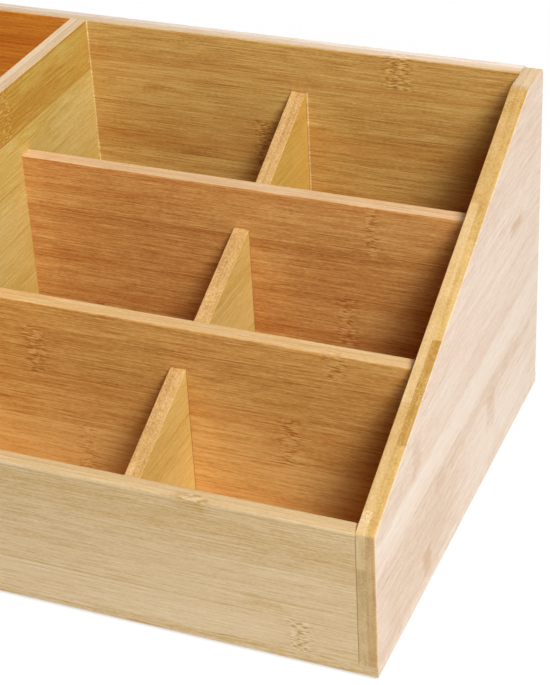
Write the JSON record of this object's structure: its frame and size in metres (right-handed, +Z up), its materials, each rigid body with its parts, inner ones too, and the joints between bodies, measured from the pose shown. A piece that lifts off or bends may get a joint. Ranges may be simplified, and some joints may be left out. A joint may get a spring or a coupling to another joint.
{
  "type": "desk organizer",
  "caption": "Bamboo desk organizer: stepped slots behind a low front, a tall tower with bins beside them, and a drawer with a turned knob under the tower.",
  "frame": {"origin": "middle of the whole object's box, at the surface it stands on", "axes": "+X to the right across the front, +Y from the front to the back, +Z up"},
  "size_m": [0.35, 0.236, 0.1612],
  "materials": {
    "bamboo_base": "clear satin lacquer on pale bamboo, streaks along the width",
    "bamboo_side": "clear satin lacquer on very pale bamboo, streaks from front to back",
    "bamboo_partition": "clear satin lacquer on yellow bamboo, streaks from front to back",
    "bamboo_board": "clear satin lacquer on amber bamboo, streaks along the width",
    "bamboo_front": "clear satin lacquer on pale tan bamboo, streaks along the width",
    "bamboo_divider": "clear satin lacquer on golden bamboo, speckled cut ends on the slanted top",
    "bamboo_drawer": "clear satin lacquer on thin pale bamboo",
    "knob_wood": "turned bamboo under clear satin lacquer",
    "dowel_wood": "bare pale wood",
    "screw_steel": "bright zinc plated steel",
    "pad_rubber": "matte dark rubber"
  },
  "bodies": {
    "case": {"base_panel": "bamboo_base", "right_side_panel": "bamboo_side", "left_side_panel": "bamboo_side", "center_partition": "bamboo_partition", "back_panel": "bamboo_board", "front_panel": "bamboo_front", "lower_tier_board": "bamboo_board", "upper_tier_board": "bamboo_board", "front_divider": "bamboo_divider", "middle_divider": "bamboo_divider", "rear_divider": "bamboo_divider", "tower_front_panel": "bamboo_front", "drawer_shelf": "bamboo_board", "bin_divider": "bamboo_board", "case_dowels": "dowel_wood", "base_screws": "screw_steel", "foot_pads": "pad_rubber", "drawer_stop": "bamboo_board"},
    "drawer": {"drawer_front": "bamboo_front", "drawer_side_left": "bamboo_drawer", "drawer_side_right": "bamboo_drawer", "drawer_back": "bamboo_drawer", "drawer_bottom": "bamboo_drawer", "drawer_brads": "screw_steel", "drawer_knob": "knob_wood", "knob_screw": "screw_steel"}
  },
  "joints": [
    {"name": "drawer_slide", "type": "slide", "parent": "case", "child": "drawer", "axis": [0, -1, 0], "range_m": [0, 0.16]}
  ]
}
